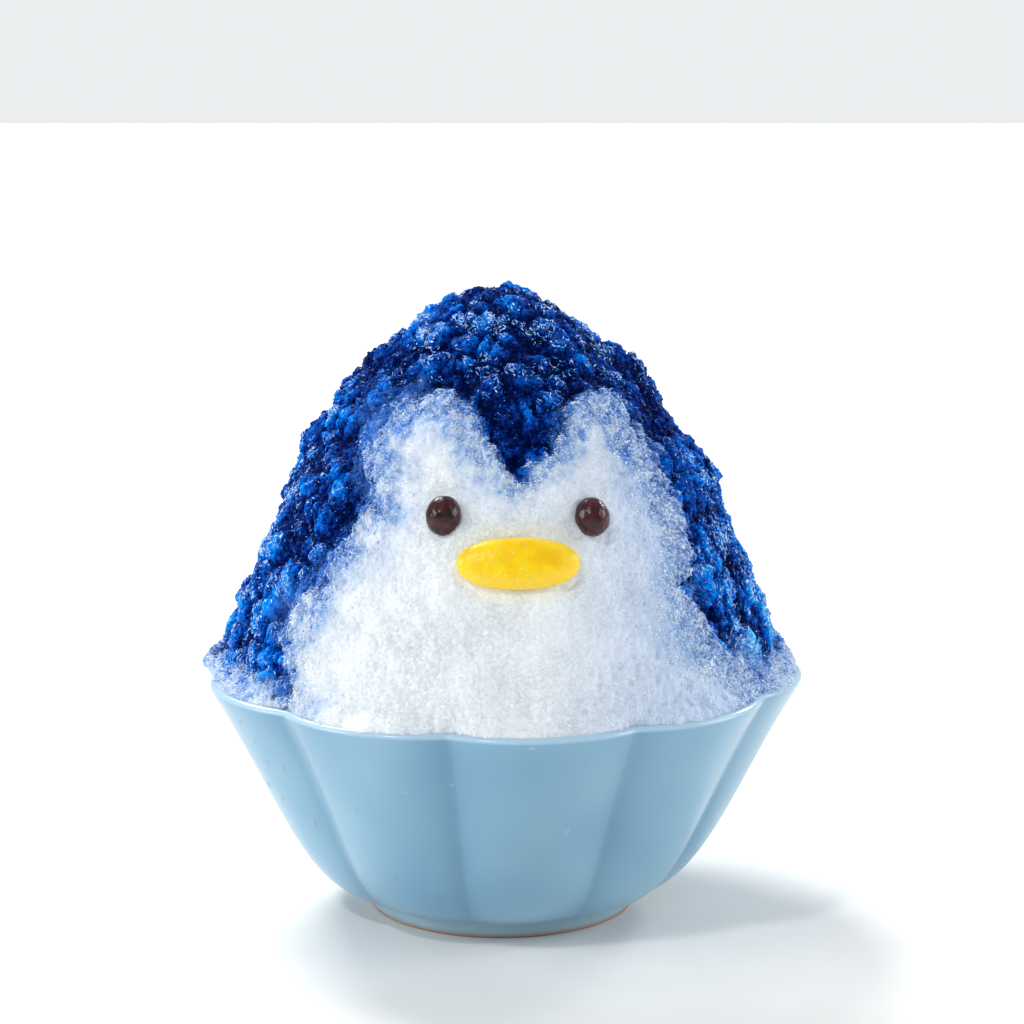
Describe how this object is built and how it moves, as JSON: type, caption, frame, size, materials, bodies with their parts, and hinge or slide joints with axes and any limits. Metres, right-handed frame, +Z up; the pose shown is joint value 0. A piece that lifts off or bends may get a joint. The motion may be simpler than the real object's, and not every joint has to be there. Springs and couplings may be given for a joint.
{
  "type": "kakigori",
  "caption": "Kakigori made up as a penguin: a heap of shaved ice with blue syrup over its head, back and sides, bead eyes and a fruit beak, in a lobed ceramic bowl.",
  "frame": {"origin": "under the middle of the bowl's foot, on the surface that it stands on", "axes": "+Z up, the penguin's face towards -Y, +X to the right of a person who looks at the face"},
  "size_m": [0.149, 0.1494, 0.156],
  "materials": {
    "glaze": "light blue satin ceramic glaze",
    "white_ice": "fine shaved ice, fluffy and white",
    "blue_ice": "shaved ice soaked with deep blue syrup, wet and granular",
    "bean": "dark reddish brown, smooth and satin",
    "fruit": "moist yellow fruit flesh",
    "water": "clear droplets of condensed water on the bowl"
  },
  "bodies": {
    "root": {"bowl": "glaze", "white_ice": "white_ice", "blue_ice": "blue_ice", "eye_left": "bean", "eye_right": "bean", "beak": "fruit"}
  },
  "joints": []
}
